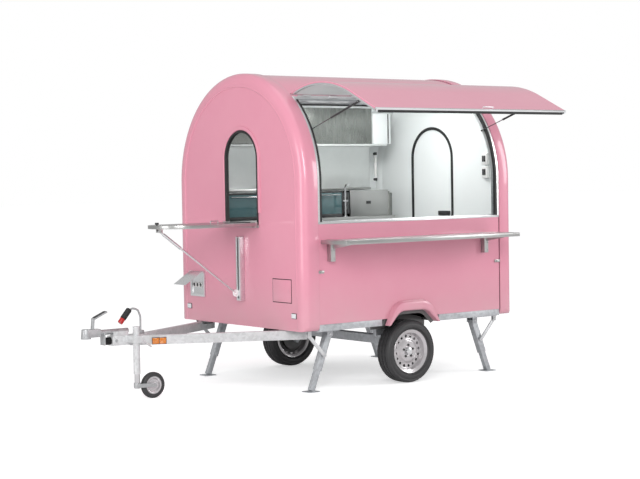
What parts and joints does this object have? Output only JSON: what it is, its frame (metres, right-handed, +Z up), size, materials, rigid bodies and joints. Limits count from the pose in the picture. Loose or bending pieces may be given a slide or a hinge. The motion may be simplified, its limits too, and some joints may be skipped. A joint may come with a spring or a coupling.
{
  "type": "food trailer",
  "caption": "Arched food trailer with a lift-up serving hatch and counter, a fold-down front flap, a rear door, corner steadies and a braked drawbar with a jockey wheel.",
  "frame": {"origin": "centre of the whole machine's bounding box, on the ground", "axes": "+X from the drawbar to the rear wall, +Z up, serving side towards -Y"},
  "size_m": [4.21, 2.903, 2.87],
  "materials": {
    "aluminium": "satin anodised",
    "black_plastic": "matt black",
    "black_rubber": "matt rubber",
    "clear_lamp": "clear lens",
    "floor_grey": "non-slip floor",
    "galvanised_steel": "hot-dip galvanised, matt spangle",
    "pink_gelcoat": "glossy gelcoat",
    "red_lamp": "red lens",
    "silver_wheel": "silver wheel paint",
    "stainless_steel": "brushed stainless"
  },
  "bodies": {
    "trailer": {"axle_beam": "galvanised_steel", "bellows": "black_rubber", "chassis_frame": "galvanised_steel", "counter": "stainless_steel", "coupling_head": "galvanised_steel", "drawbar": "galvanised_steel", "far_side_panel": "pink_gelcoat", "flap_hinge": "stainless_steel", "floor": "floor_grey", "front_cap": "pink_gelcoat", "front_lamp_far": "clear_lamp", "front_lamp_near": "clear_lamp", "handbrake_lever": "black_plastic", "hatch_hinge": "aluminium", "inlet_box": "stainless_steel", "jockey_tube": "galvanised_steel", "kitchen_unit": "stainless_steel", "ovens": "black_plastic", "rear_cap": "pink_gelcoat", "rear_lamp_far": "red_lamp", "rear_lamp_near": "red_lamp", "roof_shell": "pink_gelcoat", "serving_frame": "aluminium", "serving_side_panel": "pink_gelcoat", "splashback": "stainless_steel", "steel_box": "stainless_steel", "strut_rail": "stainless_steel", "wheel_box_far": "black_plastic", "wheel_box_near": "black_plastic", "window_gasket": "black_rubber"},
    "wheel_near": {"wheel_rim_near": "silver_wheel", "tyre_near": "black_rubber"},
    "wheel_far": {"wheel_rim_far": "silver_wheel", "tyre_far": "black_rubber"},
    "hatch": {"hatch_skin": "pink_gelcoat", "hatch_liner": "aluminium"},
    "gas_tube_front": {"gas_tube_front": "black_plastic"},
    "gas_rod_front": {"gas_rod_front": "stainless_steel"},
    "gas_tube_rear": {"gas_tube_rear": "black_plastic"},
    "gas_rod_rear": {"gas_rod_rear": "stainless_steel"},
    "front_flap": {"front_flap": "stainless_steel"},
    "flap_strut": {"flap_strut": "stainless_steel"},
    "rear_door": {"rear_door": "pink_gelcoat"},
    "inlet_lid": {"inlet_lid": "stainless_steel"},
    "steady_front_near": {"steady_front_near": "galvanised_steel"},
    "brace_front_near": {"brace_front_near": "galvanised_steel"},
    "steady_front_far": {"steady_front_far": "galvanised_steel"},
    "brace_front_far": {"brace_front_far": "galvanised_steel"},
    "steady_rear_near": {"steady_rear_near": "galvanised_steel"},
    "brace_rear_near": {"brace_rear_near": "galvanised_steel"},
    "steady_rear_far": {"steady_rear_far": "galvanised_steel"},
    "brace_rear_far": {"brace_rear_far": "galvanised_steel"},
    "jockey_stem": {"jockey_stem": "stainless_steel"},
    "jockey_fork": {"jockey_fork": "galvanised_steel"},
    "jockey_wheel": {"jockey_wheel": "black_rubber"}
  },
  "joints": [
    {"name": "wheel_near_spin", "type": "hinge", "parent": "trailer", "child": "wheel_near", "pos_m": [0.785, -0.4985, 0.29], "axis": [0, 1, 0], "continuous": true},
    {"name": "wheel_far_spin", "type": "hinge", "parent": "trailer", "child": "wheel_far", "pos_m": [0.785, 1.3115, 0.29], "axis": [0, 1, 0], "continuous": true},
    {"name": "hatch_swing", "type": "hinge", "parent": "trailer", "child": "hatch", "pos_m": [0.815, -0.2535, 2.63717], "axis": [1, 0, 0], "range_deg": [0, 64.4]},
    {"name": "gas_tube_front_swing", "type": "hinge", "parent": "hatch", "child": "gas_tube_front", "pos_m": [-0.223, -1.09811, 2.54852], "axis": [1, 0, 0], "range_deg": [0, 30.78]},
    {"name": "gas_rod_front_slide", "type": "slide", "parent": "gas_tube_front", "child": "gas_rod_front", "axis": [0, 0.9512, -0.3087], "range_m": [-0.20267, 0]},
    {"name": "gas_tube_rear_swing", "type": "hinge", "parent": "hatch", "child": "gas_tube_rear", "pos_m": [1.853, -1.09811, 2.54852], "axis": [1, 0, 0], "range_deg": [0, 30.78]},
    {"name": "gas_rod_rear_slide", "type": "slide", "parent": "gas_tube_rear", "child": "gas_rod_rear", "axis": [0, 0.9512, -0.3087], "range_m": [-0.20267, 0]},
    {"name": "flap_fold", "type": "hinge", "parent": "trailer", "child": "front_flap", "pos_m": [-0.475, 0.4065, 1.505], "axis": [0, 1, 0], "range_deg": [0, 90]},
    {"name": "flap_strut_swing", "type": "hinge", "parent": "front_flap", "child": "flap_strut", "pos_m": [-1.335, 0.3465, 1.453], "axis": [0, 1, 0], "range_deg": [-36.55, 0]},
    {"name": "door_swing", "type": "hinge", "parent": "trailer", "child": "rear_door", "pos_m": [2.09, 0.8205, 1.5], "axis": [0, 0, 1], "range_deg": [0, 110]},
    {"name": "inlet_lid_swing", "type": "hinge", "parent": "trailer", "child": "inlet_lid", "pos_m": [-0.475, 1.0865, 1.024], "axis": [0, -1, 0], "range_deg": [0, 58]},
    {"name": "steady_front_near_fold", "type": "hinge", "parent": "trailer", "child": "steady_front_near", "pos_m": [-0.07, -0.4185, 0.505], "axis": [0, -1, 0], "range_deg": [0, 70]},
    {"name": "brace_front_near_swing", "type": "hinge", "parent": "steady_front_near", "child": "brace_front_near", "pos_m": [-0.14204, -0.4185, 0.31843], "axis": [0, -1, 0], "range_deg": [-53.94, 0]},
    {"name": "steady_front_far_fold", "type": "hinge", "parent": "trailer", "child": "steady_front_far", "pos_m": [-0.07, 1.2315, 0.505], "axis": [0, -1, 0], "range_deg": [0, 70]},
    {"name": "brace_front_far_swing", "type": "hinge", "parent": "steady_front_far", "child": "brace_front_far", "pos_m": [-0.14204, 1.2315, 0.31843], "axis": [0, -1, 0], "range_deg": [-53.94, 0]},
    {"name": "steady_rear_near_fold", "type": "hinge", "parent": "trailer", "child": "steady_rear_near", "pos_m": [1.7, -0.4185, 0.505], "axis": [0, 1, 0], "range_deg": [0, 70]},
    {"name": "brace_rear_near_swing", "type": "hinge", "parent": "steady_rear_near", "child": "brace_rear_near", "pos_m": [1.77204, -0.4185, 0.31843], "axis": [0, 1, 0], "range_deg": [-53.94, 0]},
    {"name": "steady_rear_far_fold", "type": "hinge", "parent": "trailer", "child": "steady_rear_far", "pos_m": [1.7, 1.2315, 0.505], "axis": [0, 1, 0], "range_deg": [0, 70]},
    {"name": "brace_rear_far_swing", "type": "hinge", "parent": "steady_rear_far", "child": "brace_rear_far", "pos_m": [1.77204, 1.2315, 0.31843], "axis": [0, 1, 0], "range_deg": [-53.94, 0]},
    {"name": "jockey_raise", "type": "slide", "parent": "trailer", "child": "jockey_stem", "axis": [0, 0, 1], "range_m": [0, 0.07]},
    {"name": "jockey_swivel", "type": "hinge", "parent": "jockey_stem", "child": "jockey_fork", "pos_m": [-1.645, 0.2615, 0.15], "axis": [0, 0, 1], "continuous": true},
    {"name": "jockey_wheel_spin", "type": "hinge", "parent": "jockey_fork", "child": "jockey_wheel", "pos_m": [-1.488, 0.2615, 0.115], "axis": [0, 1, 0], "continuous": true}
  ],
  "couplings": [
    {"joint": "gas_tube_front_swing", "follows": "hatch_swing", "ratio": 0.47479},
    {"joint": "gas_rod_front_slide", "follows": "hatch_swing", "m_per_rad": -0.17987},
    {"joint": "gas_tube_rear_swing", "follows": "hatch_swing", "ratio": 0.47479},
    {"joint": "gas_rod_rear_slide", "follows": "hatch_swing", "m_per_rad": -0.17987},
    {"joint": "flap_strut_swing", "follows": "flap_fold", "ratio": -0.40384},
    {"joint": "brace_front_near_swing", "follows": "steady_front_near_fold", "ratio": -0.76766},
    {"joint": "brace_front_far_swing", "follows": "steady_front_far_fold", "ratio": -0.76766},
    {"joint": "brace_rear_near_swing", "follows": "steady_rear_near_fold", "ratio": -0.76766},
    {"joint": "brace_rear_far_swing", "follows": "steady_rear_far_fold", "ratio": -0.76766}
  ]
}
